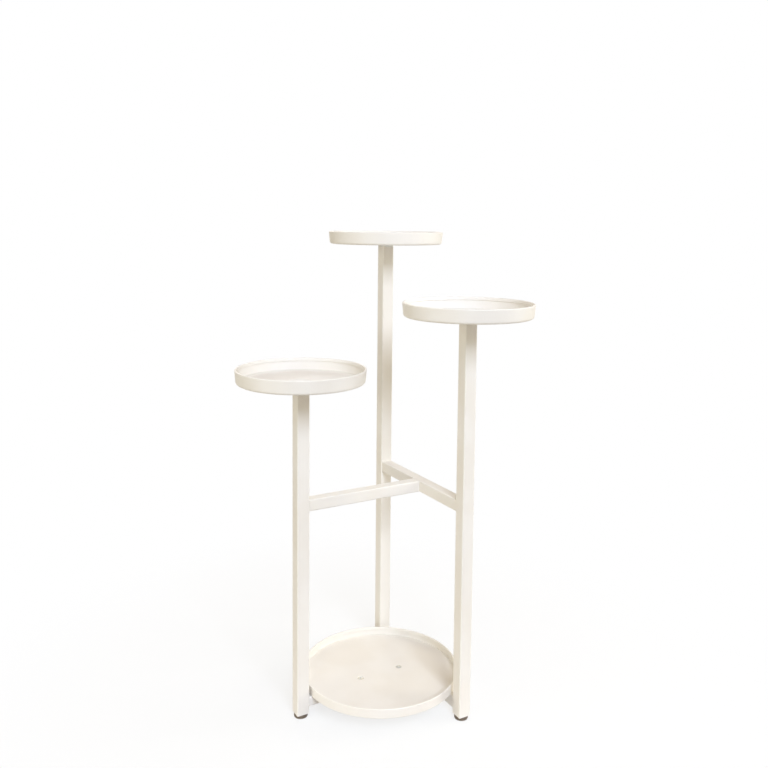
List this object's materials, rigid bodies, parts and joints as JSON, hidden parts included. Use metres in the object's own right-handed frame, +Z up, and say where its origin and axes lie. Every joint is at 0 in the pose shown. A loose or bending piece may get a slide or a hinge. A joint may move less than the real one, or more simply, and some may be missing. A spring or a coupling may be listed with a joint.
{
  "type": "plant stand",
  "caption": "Tiered plant stand of square steel tube: legs of rising height each carry a round tray, joined by T-shaped rails, with a wider tray near the floor.",
  "frame": {"origin": "on the floor, under the middle of the outline", "axes": "+Z up; +X from the low leg towards the long rails; +Y from the middle leg to the high leg"},
  "size_m": [0.4078, 0.4406, 0.74],
  "materials": {
    "powder_coat": "satin warm white powder coat",
    "zinc_steel": "zinc plated",
    "dark_nylon": "moulded, matt"
  },
  "bodies": {
    "stand": {"low_leg": "powder_coat", "middle_leg": "powder_coat", "high_leg": "powder_coat", "low_tray": "powder_coat", "middle_tray": "powder_coat", "high_tray": "powder_coat", "base_tray": "powder_coat", "mid_long_rail": "powder_coat", "mid_short_rail": "powder_coat", "base_long_rail": "powder_coat", "base_short_rail": "powder_coat", "low_top_insert": "zinc_steel", "middle_top_insert": "zinc_steel", "high_top_insert": "zinc_steel", "tray_screws": "zinc_steel", "base_tray_screws": "zinc_steel", "mid_rail_spigots": "zinc_steel", "base_rail_spigots": "zinc_steel", "mid_rail_lock_screws": "zinc_steel", "base_rail_lock_screws": "zinc_steel", "low_foot_insert": "dark_nylon", "middle_foot_insert": "dark_nylon", "high_foot_insert": "dark_nylon"},
    "low_foot": {"low_foot_pad": "dark_nylon", "low_foot_stem": "zinc_steel"},
    "middle_foot": {"middle_foot_pad": "dark_nylon", "middle_foot_stem": "zinc_steel"},
    "high_foot": {"high_foot_pad": "dark_nylon", "high_foot_stem": "zinc_steel"}
  },
  "joints": [
    {"name": "low_foot_level", "type": "slide", "parent": "stand", "child": "low_foot", "axis": [0, 0, -1], "range_m": [0, 0.008]},
    {"name": "middle_foot_level", "type": "slide", "parent": "stand", "child": "middle_foot", "axis": [0, 0, -1], "range_m": [0, 0.008]},
    {"name": "high_foot_level", "type": "slide", "parent": "stand", "child": "high_foot", "axis": [0, 0, -1], "range_m": [0, 0.008]}
  ]
}
